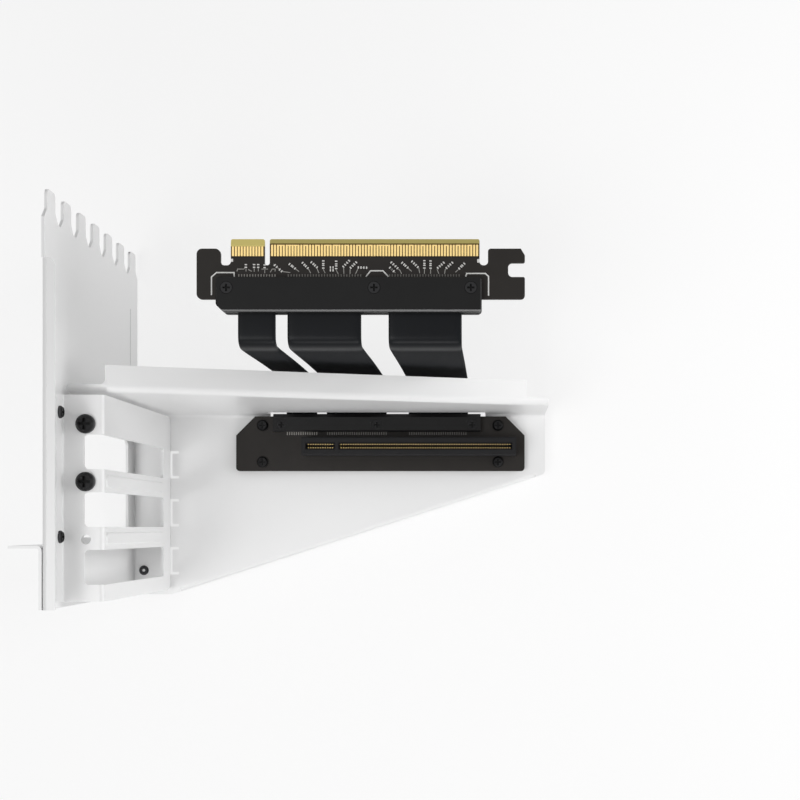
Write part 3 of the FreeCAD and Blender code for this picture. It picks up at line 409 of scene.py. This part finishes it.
def edge_lacquer(colours):
    """The plug's board: lacquer, a band of painted shade at its end, brown laminate between the contacts,
    and the bevel past their tips. The contacts' box gives the places."""
    r = Recipe("edge_lacquer")
    at = r.place()
    x, y, _ = r.axes(at)
    low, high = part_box("plug_contacts")
    tone, weave = lacquer(r, at, colours)
    edge = (x > low[0] - BARE_MARGIN) * (x < high[0] + BARE_MARGIN)
    # painted shade: a dark band along the lacquer's end, just below the contacts
    tone = r.blend((y > low[1] - BARE_MARGIN) * edge, tone, shade(colours.mask, LACQUER_END_SHADE_GAIN))
    brown = r.mottle(r.noise(at, scale=900.0), colours.laminate, 0.7, 1.3)
    tone = r.blend((y > low[1]) * edge, tone, brown)
    short = x < SHORT_ROW_END
    bevel = (y > BEVEL_START - short * SHORT_BEVEL_RISE) * edge
    tone = r.blend(bevel, tone, r.mottle(short, colours.bevel, 1.0, SHORT_BEVEL_GAIN))
    return lacquered(r, tone, weave)


def contact_gold(colours):
    """Hard gold plate: bright, with a fine cloud in colour and gloss."""
    r = Recipe("contact_gold")
    at = r.place()
    fine = r.noise(at, scale=1500.0, detail=3.0, roughness=0.6)
    return r.surface(
        base_color=r.mottle(fine, colours.gold, 0.88, 1.0), metallic=0.55, roughness=0.3 + fine * 0.14,
        normal=r.bump(fine, strength=0.1, distance=0.02 * MM))


def moulded_plastic(name, tint, roughness, grain, bevel=None):
    """Matt black moulding with a spark-eroded grain. A bevel, given by the Y it lies below and the Z it
    lies above, is smooth, and pale with a painted highlight."""
    r = Recipe(name)
    at = r.place()
    spark = r.noise(at, grain, detail=3.0, roughness=0.6)
    tone = r.mottle(r.noise(at, scale=120.0), tint, 0.85, 1.2)
    smooth = 0.0
    if bevel:
        _, y, z = r.axes(at)
        # the bevel's mask: it gets a real glossy coat, and its tone is lifted as a painted highlight
        smooth = (y < bevel[0]) * (z > bevel[1])
        tone = r.blend(smooth, tone, shade(tint, COVER_BEVEL_HIGHLIGHT_GAIN))
    return r.surface(
        base_color=tone, roughness=roughness + spark * 0.15, specular_ior_level=0.13, coat_weight=smooth,
        coat_roughness=0.25, normal=r.bump(spark, strength=0.3, distance=0.05 * MM))


def plated(name, tint, metallic):
    """Plated or tinned metal, a little uneven in tone and gloss."""
    r = Recipe(name)
    at = r.place()
    fine = r.noise(at, scale=1700.0)
    return r.surface(
        base_color=r.mottle(fine, tint, 0.8, 1.0), metallic=metallic, roughness=0.26 + fine * 0.18,
        normal=r.bump(fine, strength=0.1, distance=0.02 * MM))


def board_ink(name, tint):
    """Printed ink: matt, thinner in places."""
    r = Recipe(name)
    at = r.place()
    thin = r.noise(at, scale=1300.0, detail=3.0, roughness=0.6)
    return r.surface(
        base_color=r.mottle(thin, tint, 0.82, 1.0), roughness=0.5 + thin * 0.2,
        normal=r.bump(thin, strength=0.2, distance=0.01 * MM))


def ribbon_jacket(colours):
    """Black jacket with the conductors' faint ridges along it, sin(2 pi across / pitch), by its UV map.

    It is duller below the fold, where it hangs.
    """
    r = Recipe("ribbon_jacket")
    across, _, _ = r.axes(r.add("ShaderNodeUVMap", {"uv_map": "along"}))
    wave = across * (2 * np.pi / CONDUCTOR_PITCH)
    at = r.place()
    fine = r.noise(at, scale=1600.0, detail=3.0, roughness=0.55)
    hanging = r.rise(r.axes(at)[2], FOLD_TOP, FOLD_FOOT)
    height = wave.math("SINE", wave) * 0.4 + fine
    return r.surface(
        base_color=r.mottle(r.noise(at, scale=140.0), colours.ribbon, 0.8, 1.3),
        roughness=0.3 + fine * 0.1 + hanging * 0.58, specular_ior_level=0.12,
        normal=r.bump(height, strength=0.14, distance=0.04 * MM))


def dress(material, *names):
    """Gives a material to CAD nodes through their objects' slots."""
    for name in names:
        node = NODES[name]
        if not node.material_slots:
            node.data.materials.append(material)
        for place in node.material_slots:
            place.material = material


# Surfaces

SPLINE_STEPS = 16


def mesh_piece(name, points, faces, material, replaces=()):
    """A mesh object at the origin that rides on the root and material."""
    mesh = bpy.data.meshes.new(name)
    mesh.from_pydata(points, [], faces)
    mesh.materials.append(material)
    piece = bpy.data.objects.new(name, mesh)
    bpy.context.scene.collection.objects.link(piece)
    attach(piece, ROOT)
    if replaces:
        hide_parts(*replaces)
    return piece


def band_faces(rows, columns):
    """Quads of a grid of rows by columns that closes round its columns, with an n-gon at each end."""
    row, column = np.meshgrid(np.arange(rows - 1), np.arange(columns), indexing="ij")
    after = (column + 1) % columns
    quads = np.stack(
        [row * columns + column, row * columns + after, (row + 1) * columns + after,
         (row + 1) * columns + column], -1).reshape(-1, 4)
    first = np.arange(columns)[::-1]
    last = (rows - 1) * columns + np.arange(columns)
    return quads.tolist() + [first.tolist(), last.tolist()]


def spline_line(name, points):
    """Points read from the quadratic NURBS spline that has these control points and reaches both ends."""
    line = bpy.data.curves.new(name, "CURVE")
    line.dimensions = "3D"
    line.resolution_u = SPLINE_STEPS
    spline = line.splines.new("NURBS")
    spline.points.add(len(points) - 1)
    spline.points.foreach_set("co", np.c_[points, np.ones(len(points))].ravel())
    spline.order_u = 3
    spline.use_endpoint_u = True
    holder = bpy.data.objects.new(name, line)
    mesh = bpy.data.meshes.new_from_object(holder)
    places = np.empty(len(mesh.vertices) * 3)
    mesh.vertices.foreach_get("co", places)
    bpy.data.objects.remove(holder)
    bpy.data.curves.remove(line)
    bpy.data.meshes.remove(mesh)
    return places.reshape(-1, 3)


# Ribbons

RIBBON_SPANS = {
    "ribbon_left": (72.55, 85.45),
    "ribbon_middle": (89.45, 114.7),
    "ribbon_right": (124.0, 149.05),
}
RIBBON_ROUTE = np.array([
    (53.0, -59.66), (61.0, -59.66), (68.3, -59.34), (68.0, -50.34), (68.45, 2.66), (68.0, 53.66),
    (68.3, 65.56), (75.0, 65.91), (84.1, 65.74),
])
RIBBON_COLUMNS = 64
SIDE_POWER = 14
FACE_POWER = 2.6


def ribbon_profile(width, thickness):
    """A flat oval: the superellipse |u / a|^side + |v / b|^face = 1, taken round by angle, where a and b
    are half the width and half the thickness."""
    turn = np.linspace(0, 2 * np.pi, RIBBON_COLUMNS, endpoint=False)
    c, s = np.cos(turn), np.sin(turn)
    return (np.sign(c) * np.abs(c) ** (2 / SIDE_POWER) * width / 2,
            np.sign(s) * np.abs(s) ** (2 / FACE_POWER) * thickness / 2)


def ribbon_band(line, centre, width, thickness):
    """The profile carried along the line: X is centre + u, and v goes along the line's normal."""
    ahead = np.gradient(line[:, 1:], axis=0)
    ahead /= np.linalg.norm(ahead, axis=1)[:, None]
    normal = np.stack([-ahead[:, 1], ahead[:, 0]], 1)
    u, v = ribbon_profile(width, thickness)
    points = np.empty((len(line), len(u), 3))
    points[..., 0] = centre + u
    points[..., 1] = line[:, 1, None] + v * normal[:, 0, None]
    points[..., 2] = line[:, 2, None] + v * normal[:, 1, None]
    return points


class MOUNT_OT_ribbons(bpy.types.Operator):
    """Sweep the three flat cables from the socket board to the plug"""

    bl_idname = "mount.ribbons"
    bl_label = "Ribbons"

    def execute(self, context):
        sizes = context.scene.mount_sizes
        jacket = ribbon_jacket(context.scene.mount_colours)
        for name, (low, high) in RIBBON_SPANS.items():
            centre, width = (low + high) / 2 * MM, (high - low) * MM
            route = np.insert(RIBBON_ROUTE * MM, 0, centre, axis=1)
            line = spline_line(name, route)
            points = ribbon_band(line, centre, width, sizes.ribbon_thickness)
            rows, columns = points.shape[:2]
            piece = mesh_piece(
                name + "_cable", points.reshape(-1, 3), band_faces(rows, columns), jacket,
                [name])
            mesh = piece.data
            along = np.r_[0, np.cumsum(np.linalg.norm(np.diff(line, axis=0), axis=1))]
            chart = np.broadcast_arrays(points[..., 0] - centre, along[:, None])
            chart = np.stack(chart, -1).reshape(-1, 2)
            corners = np.empty(len(mesh.loops), int)
            mesh.loops.foreach_get("vertex_index", corners)
            mesh.uv_layers.new(name="along").data.foreach_set("uv", chart[corners].ravel())
            mesh.shade_smooth()
        return {"FINISHED"}


class MOUNT_OT_sheet(bpy.types.Operator):
    """Coat the folded sheet pieces white"""

    bl_idname = "mount.sheet"
    bl_label = "Sheet pieces"

    def execute(self, context):
        colours = context.scene.mount_colours
        dress(powder_coat(colours, "powder_coat"), "screw_flange", "card_frame", "support_tray")
        # the slot plate's coat also paints a line of shade into its crease
        dress(powder_coat(colours, "plate_coat", crease=True), "slot_plate")
        return {"FINISHED"}


def row_ends(node, across):
    """The radius of a row's round heads, and the centres of its first and last, from the row's box."""
    low, high = (np.array(corner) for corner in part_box(node))
    half = (high[across] - low[across]) / 2
    return half, (low + half, high - half)


class MOUNT_OT_fasteners(bpy.types.Operator):
    """Finish the screws, rivets and spacers"""

    bl_idname = "mount.fasteners"
    bl_label = "Fasteners"

    def execute(self, context):
        colours = context.scene.mount_colours
        for node, axis, across in (("card_screws", 2, 0), ("frame_screws", 0, 2)):
            dress(black_oxide(colours, node + "_oxide", node, axis, row_ends(node, across)), node)
        for node in ("board_screws", "socket_cover_screws"):
            dress(black_oxide(colours, node + "_oxide", node, 2), node)
        node = "plug_cover_screws"
        radius, ends = row_ends(node, 1)
        middle = ends[0].copy()
        middle[0] = (RIBBON_SPANS["ribbon_middle"][1] + RIBBON_SPANS["ribbon_right"][0]) / 2 * MM
        dress(black_oxide(colours, node + "_oxide", node, 2, (radius, (*ends, middle)), flush=True), node)
        for node, axis, across in (("tray_rivets", 2, 0), ("wall_rivets", 0, 1)):
            dress(rivet_metal(colours, node + "_metal", axis, row_ends(node, across)[1]), node)
        dress(plated("spacer_plate", colours.standoff, metallic=1.0), "board_standoffs")
        return {"FINISHED"}


class MOUNT_OT_boards(bpy.types.Operator):
    """Finish the two boards, their contacts, covers and the socket"""

    bl_idname = "mount.boards"
    bl_label = "Boards"

    def execute(self, context):
        colours = context.scene.mount_colours
        dress(edge_lacquer(colours), "plug_board")
        dress(solder_mask(colours), "socket_board")
        dress(contact_gold(colours), "plug_contacts", "socket_contacts")
        low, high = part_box("plug_cover_top")
        bevel = (low[1] + COVER_BEVEL, high[2] - COVER_SHINE)
        dress(moulded_plastic("cover_plastic", colours.cover, roughness=0.36, grain=1500.0, bevel=bevel),
              "plug_cover_top", "plug_cover_bottom", "socket_cover")
        dress(moulded_plastic("socket_plastic", colours.socket, roughness=0.4, grain=1100.0),
              "socket_housing")
        return {"FINISHED"}


# What is printed and soldered on the boards

OUTLINES = (
    ((63.6, 85.5), (63.6, 91.7), (65.3, 93.2), (71.3, 93.2), (71.4, 91.7)),
    ((150.4, 91.7), (150.7, 92.9), (157.1, 92.9), (158.2, 91.9), (158.2, 85.3)),
    ((116.1, 91.5), (117.9, 93.8), (122.2, 93.8), (124.3, 91.5)),
)
EDGE_MARKS = (((70.6, 97.9), (70.6, 96.9)), ((154.7, 97.8), (154.7, 96.6)))
FANS = (
    ((84.8, 96.1), (87.6, 93.6), (90.5, 93.2)),
    ((90.1, 96.2), (93.5, 93.5)),
    ((94.5, 96.7), (96.6, 94.6), (97.5, 93.0)),
    ((97.5, 96.9), (99.4, 95.2), (100.3, 93.0)),
    ((101.8, 97.4), (101.8, 94.3), (102.4, 93.0)),
    ((106.2, 97.3), (106.2, 94.0), (106.9, 92.8)),
    ((110.9, 97.5), (108.7, 95.2), (108.8, 92.8)),
    ((113.3, 96.9), (111.0, 94.7), (110.9, 92.8)),
    ((117.0, 94.8), (113.8, 94.9), (112.8, 92.8)),
    ((124.7, 96.9), (128.0, 93.9), (128.5, 92.8)),
    ((124.6, 94.8), (126.4, 93.1)),
    ((128.5, 96.7), (132.0, 93.6)),
    ((131.8, 97.2), (134.4, 94.7), (134.7, 93.0)),
    ((136.3, 97.5), (136.3, 92.8)),
    ((138.4, 97.4), (138.4, 92.8)),
    ((143.2, 96.8), (140.6, 94.5), (141.2, 92.8)),
    ((146.1, 96.8), (143.4, 94.3), (143.2, 92.8)),
    ((150.1, 96.4), (146.9, 93.3)),
)
FAN_CHIPS = (0.16, 0.5)
CHIP_BLOCK = (((104.0, 93.9), (105.4, 93.9)), ((104.0, 94.9), (105.4, 94.9)))
CLUSTER = (
    ((72.3, 93.6), (72.5, 94.4), (74.7, 94.4), (75.4, 95.5)),
    ((75.4, 94.6), (75.4, 93.6)),
    ((76.1, 94.3), (77.4, 93.6)),
    ((78.2, 95.6), (78.2, 93.5)),
    ((79.6, 95.6), (79.6, 93.6)),
    ((80.7, 94.4), (82.9, 94.4)),
    ((81.8, 95.4), (81.8, 93.0)),
    ((83.7, 93.3), (84.3, 94.4), (85.4, 94.4), (85.3, 93.6)),
)
CLUSTER_CHIPS = (((75.4, 95.9), (75.4, 94.9)), ((78.2, 95.9), (78.2, 94.9)), ((79.6, 95.9), (79.6, 94.9)),
                 ((81.8, 95.8), (81.8, 94.8)))
LONG_ROW_START = 84.3
TIED_PAIRS = (11, 15, 25, 29, 33, 43, 47, 51, 55, 59, 63, 67)
WIDE_TIPS = (3, 6, 8, 19, 22, 37, 39)
CHIP_BODY_SHARE = 0.9
CHIP_END_SHARE = 0.3
TAIL_INSET = 0.4
TAIL_HIDDEN = 0.2
TAIL_RISE = 4
TIE_SPAN = (-0.35, 1.35)
TIP_SPAN = (-0.6, 0.6)
TIN_SHINE = 0.3
# painted light: one tin, lit lighter under the left ribbon and shaded darker under the right
TAIL_PAINTED_LIGHT = {"ribbon_left": 1.8, "ribbon_middle": 1.0, "ribbon_right": 0.85}
SUNK = 0.01 * MM


def strip(path, width, low, high):
    """A flat strip between two heights, along a path in millimetres.

    At each point the mitre is m = (n1 + n2) / (1 + n1 . n2), of the normals of the runs on its two sides,
    and the edges are the path plus and minus m * width / 2.
    """
    path = np.array(path) * MM
    run = np.diff(path, axis=0)
    run /= np.linalg.norm(run, axis=1)[:, None]
    left = np.stack([-run[:, 1], run[:, 0]], 1)
    before, after = np.r_[left[:1], left], np.r_[left, left[-1:]]
    mitre = (before + after) / (1 + (before * after).sum(1))[:, None] * width / 2
    edges = np.stack([path - mitre, path + mitre, path + mitre, path - mitre], 1)
    return np.dstack([edges, np.broadcast_to([low, low, high, high], edges.shape[:2])])


def strip_piece(name, strips, material):
    """One mesh of many strips, each a band of four columns with an end at each side."""
    counts = [len(one) for one in strips]
    starts = np.r_[0, np.cumsum(counts)[:-1]] * 4
    faces = [np.array(band_faces(count, 4)) + start for count, start in zip(counts, starts)]
    points = np.concatenate([one.reshape(-1, 3) for one in strips])
    mesh_piece(name, points, np.concatenate(faces).tolist(), material)


def run_on_path(path, share, length):
    """A straight run of this length, in millimetres, centred at a share of the path's own length."""
    path = np.array(path)
    steps = np.diff(path, axis=0)
    lengths = np.linalg.norm(steps, axis=1)
    reach = np.r_[0, np.cumsum(lengths)]
    want = share * reach[-1]
    which = np.searchsorted(reach, want, side="right") - 1
    ahead = steps[which] / lengths[which]
    centre = path[which] + ahead * (want - reach[which])
    return centre - ahead * length / 2, centre + ahead * length / 2


def board_top():
    """Height of the plug board's upper face."""
    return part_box("plug_board")[1][2]


class MOUNT_OT_print(bpy.types.Operator):
    """Print the white outlines and lay the pale traces on the plug's board"""

    bl_idname = "mount.print"
    bl_label = "Board print"

    def execute(self, context):
        colours, sizes = context.scene.mount_colours, context.scene.mount_sizes
        low, high = board_top() - SUNK, board_top() + sizes.ink_height
        strip_piece("plug_outlines", [strip(path, sizes.ink_width, low, high) for path in OUTLINES],
                    board_ink("outline_ink", colours.ink))
        strip_piece("plug_traces", [strip(path, sizes.trace_width, low, high) for path in FANS + CLUSTER],
                    board_ink("trace_copper", colours.trace))
        strip_piece("plug_edge_marks",
                    [strip(path, sizes.chip_width, low, high + SUNK) for path in EDGE_MARKS],
                    plated("edge_mark_tin", colours.solder, TIN_SHINE))
        return {"FINISHED"}


class MOUNT_OT_small_parts(bpy.types.Operator):
    """Set the small parts on the plug's traces, and the soldered tails along the front of both covers"""

    bl_idname = "mount.small_parts"
    bl_label = "Small parts"

    def execute(self, context):
        colours, sizes = context.scene.mount_colours, context.scene.mount_sizes
        low, high = board_top() - SUNK, board_top() + sizes.chip_height
        span = sizes.chip_length / MM
        chips = [run_on_path(path, share, span) for path in FANS for share in FAN_CHIPS]
        chips += [run_on_path(path, 0.5, span) for path in CHIP_BLOCK + CLUSTER_CHIPS]
        bodies = [strip(chip, sizes.chip_width * CHIP_BODY_SHARE, low, high - SUNK) for chip in chips]
        ends = [
            strip(run_on_path(chip, share, span * CHIP_END_SHARE), sizes.chip_width, low, high)
            for chip in chips for share in (CHIP_END_SHARE / 2, 1 - CHIP_END_SHARE / 2)]
        strip_piece("plug_chip_bodies", bodies,
                    moulded_plastic("chip_ceramic", colours.chip, roughness=0.4, grain=1500.0))
        strip_piece("plug_chip_ends", ends, plated("chip_tin", colours.solder, TIN_SHINE))
        plug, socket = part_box("plug_cover_top")[1][1] / MM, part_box("socket_cover")[0][1] / MM
        reach, rise = sizes.tail_length / MM, sizes.ink_height * TAIL_RISE
        sides = (
            ("plug", plug - TAIL_HIDDEN, plug + reach),
            ("socket", socket + TAIL_HIDDEN, socket - reach),
        )
        for name, (start, stop) in RIBBON_SPANS.items():
            # painted light: the tails of each ribbon get their own lighter or darker copy of the tin
            metal = plated(
                name.replace("ribbon", "painted_light_tail_metal"), shade(colours.tail, TAIL_PAINTED_LIGHT[name]), TIN_SHINE)
            xs = np.arange(start + TAIL_INSET, stop, sizes.tail_pitch / MM)
            for board, back, front in sides:
                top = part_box(board + "_board")[1][2]
                tails = [
                    strip(((x, back), (x, front)), sizes.tail_width, top - SUNK, top + rise) for x in xs]
                strip_piece(name.replace("ribbon", board + "_tails"), tails, metal)
        return {"FINISHED"}


class MOUNT_OT_gold_ties(bpy.types.Operator):
    """Join the tips of some gold contacts with short bars"""

    bl_idname = "mount.gold_ties"
    bl_label = "Contact ties"

    def execute(self, context):
        sizes = context.scene.mount_sizes
        high = np.array(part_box("plug_contacts")[1]) / MM
        middle = high[1] - sizes.tie_depth / MM / 2
        places = [(i, TIE_SPAN) for i in TIED_PAIRS] + [(i, TIP_SPAN) for i in WIDE_TIPS]
        bars = [
            strip([(LONG_ROW_START + i + end, middle) for end in span], sizes.tie_depth,
                  board_top() - SUNK, high[2] * MM + SUNK)
            for i, span in places]
        strip_piece("plug_contact_ties", bars, NODES["plug_contacts"].material_slots[0].material)
        return {"FINISHED"}


# Studio

FLOOR_GAP = 0.08 * MM
FLOOR_REACH = 3.0
WHITE_SHARE = 0.75
KEY_PLACE = (-0.28, -0.22, 1.0)
KEY_SIZE = 0.5
FILL_PLACE = (0.6, 0.08, 0.16)
FILL_SIZE = 0.4
FRONT_PLACE = (0.12, -0.75, 0.42)
FRONT_SIZE = 0.28
CAMERA_PLACE = (160.40 * MM, 6.0 * MM, 602.54 * MM)
CAMERA_SENSOR = 36.0
CAMERA_LENS = 70.65
CAMERA_SHIFT = (-0.11875, 0.16)
CAMERA_CLIP = (0.01, 20.0)


def aimed_light(name, place, target, size, power):
    """A square soft light that looks at its target."""
    lamp = bpy.data.lights.new(name, "AREA")
    lamp.shape = "SQUARE"
    lamp.size = size
    lamp.energy = power
    holder = bpy.data.objects.new(name, lamp)
    holder.location = place
    way = holder.location.copy()
    way[:] = [t - p for t, p in zip(target, place)]
    holder.rotation_euler = way.to_track_quat("-Z", "Y").to_euler()
    bpy.context.scene.collection.objects.link(holder)


def floor_finish(studio):
    """A pale floor that shows white to the camera, to gloss and through glass, and keeps the shadow."""
    r = Recipe("floor")
    matt = r.add("ShaderNodeBsdfDiffuse", values={"Color": opaque(studio.floor)})
    white = r.add("ShaderNodeEmission", values={"Color": (1, 1, 1, 1), "Strength": 1.0})
    share = r.seen_white() * WHITE_SHARE
    return r.finish(r.add("ShaderNodeMixShader", values={0: share, 1: matt, 2: white}))


def room_light(studio):
    """Even light from all round, which the camera and gloss see as white."""
    r = Recipe("room", "worlds", "ShaderNodeOutputWorld")
    level = studio.sky + r.seen_white() * (1 - studio.sky)
    return r.finish(r.add("ShaderNodeBackground", values={"Color": (1, 1, 1, 1), "Strength": level}))


class MOUNT_OT_studio(bpy.types.Operator):
    """Set up the floor, the soft lights and the camera that looks straight down"""

    bl_idname = "mount.studio"
    bl_label = "Studio"

    def execute(self, context):
        scene = context.scene
        studio = scene.mount_studio
        scene.view_settings.view_transform = "Standard"
        low = CAD_BOX[0][2] - FLOOR_GAP
        reach = np.array([(-1, -1, 0), (1, -1, 0), (1, 1, 0), (-1, 1, 0)]) * FLOOR_REACH
        mesh = bpy.data.meshes.new("floor")
        mesh.from_pydata(reach + (0, 0, low), [], [(0, 1, 2, 3)])
        mesh.materials.append(floor_finish(studio))
        floor = bpy.data.objects.new("floor", mesh)
        scene.collection.objects.link(floor)
        scene.world = room_light(studio)
        middle = [(a + b) / 2 for a, b in zip(*CAD_BOX)]
        aimed_light("key", KEY_PLACE, middle, KEY_SIZE, studio.key_power)
        aimed_light("fill", FILL_PLACE, middle, FILL_SIZE, studio.fill_power)
        aimed_light("front", FRONT_PLACE, middle, FRONT_SIZE, studio.front_power)
        camera = bpy.data.cameras.new("camera")
        camera.sensor_width = CAMERA_SENSOR
        camera.lens = CAMERA_LENS
        camera.shift_x, camera.shift_y = CAMERA_SHIFT
        camera.clip_start, camera.clip_end = CAMERA_CLIP
        holder = bpy.data.objects.new("camera", camera)
        holder.location = CAMERA_PLACE
        scene.collection.objects.link(holder)
        scene.camera = holder
        return {"FINISHED"}


class MOUNT_PT_panel(bpy.types.Panel):
    """Sidebar list of the mount's pieces and values"""

    bl_idname = "MOUNT_PT_panel"
    bl_label = "Upright slot mount"
    bl_space_type = "VIEW_3D"
    bl_region_type = "UI"
    bl_category = "Mount"

    def draw(self, context):
        layout = self.layout
        for operator in OPERATORS:
            layout.operator(operator.bl_idname)
        for group in GROUPS:
            box = layout.box()
            values = getattr(context.scene, group)
            for key in values.bl_rna.properties.keys():
                if key not in ("rna_type", "name"):
                    box.prop(values, key)


GROUPS = {"mount_colours": MountColours, "mount_sizes": MountSizes, "mount_studio": MountStudio}
OPERATORS = (
    MOUNT_OT_studio, MOUNT_OT_ribbons, MOUNT_OT_sheet, MOUNT_OT_boards, MOUNT_OT_fasteners,
    MOUNT_OT_print, MOUNT_OT_small_parts, MOUNT_OT_gold_ties,
)


def register():
    """Registers the classes and hangs the values on the scene."""
    for kind in (*GROUPS.values(), *OPERATORS, MOUNT_PT_panel):
        bpy.utils.register_class(kind)
    for name, kind in GROUPS.items():
        setattr(bpy.types.Scene, name, bpy.props.PointerProperty(type=kind))


def unregister():
    """Takes the values and classes away again."""
    for name in GROUPS:
        delattr(bpy.types.Scene, name)
    for kind in reversed((*GROUPS.values(), *OPERATORS, MOUNT_PT_panel)):
        bpy.utils.unregister_class(kind)


def main():
    register()
    bpy.ops.mount.studio()
    bpy.ops.mount.ribbons()
    bpy.ops.mount.sheet()
    bpy.ops.mount.boards()
    bpy.ops.mount.fasteners()
    bpy.ops.mount.print()
    bpy.ops.mount.small_parts()
    bpy.ops.mount.gold_ties()
    bpy.context.view_layer.update()


if __name__ == "__main__":
    main()
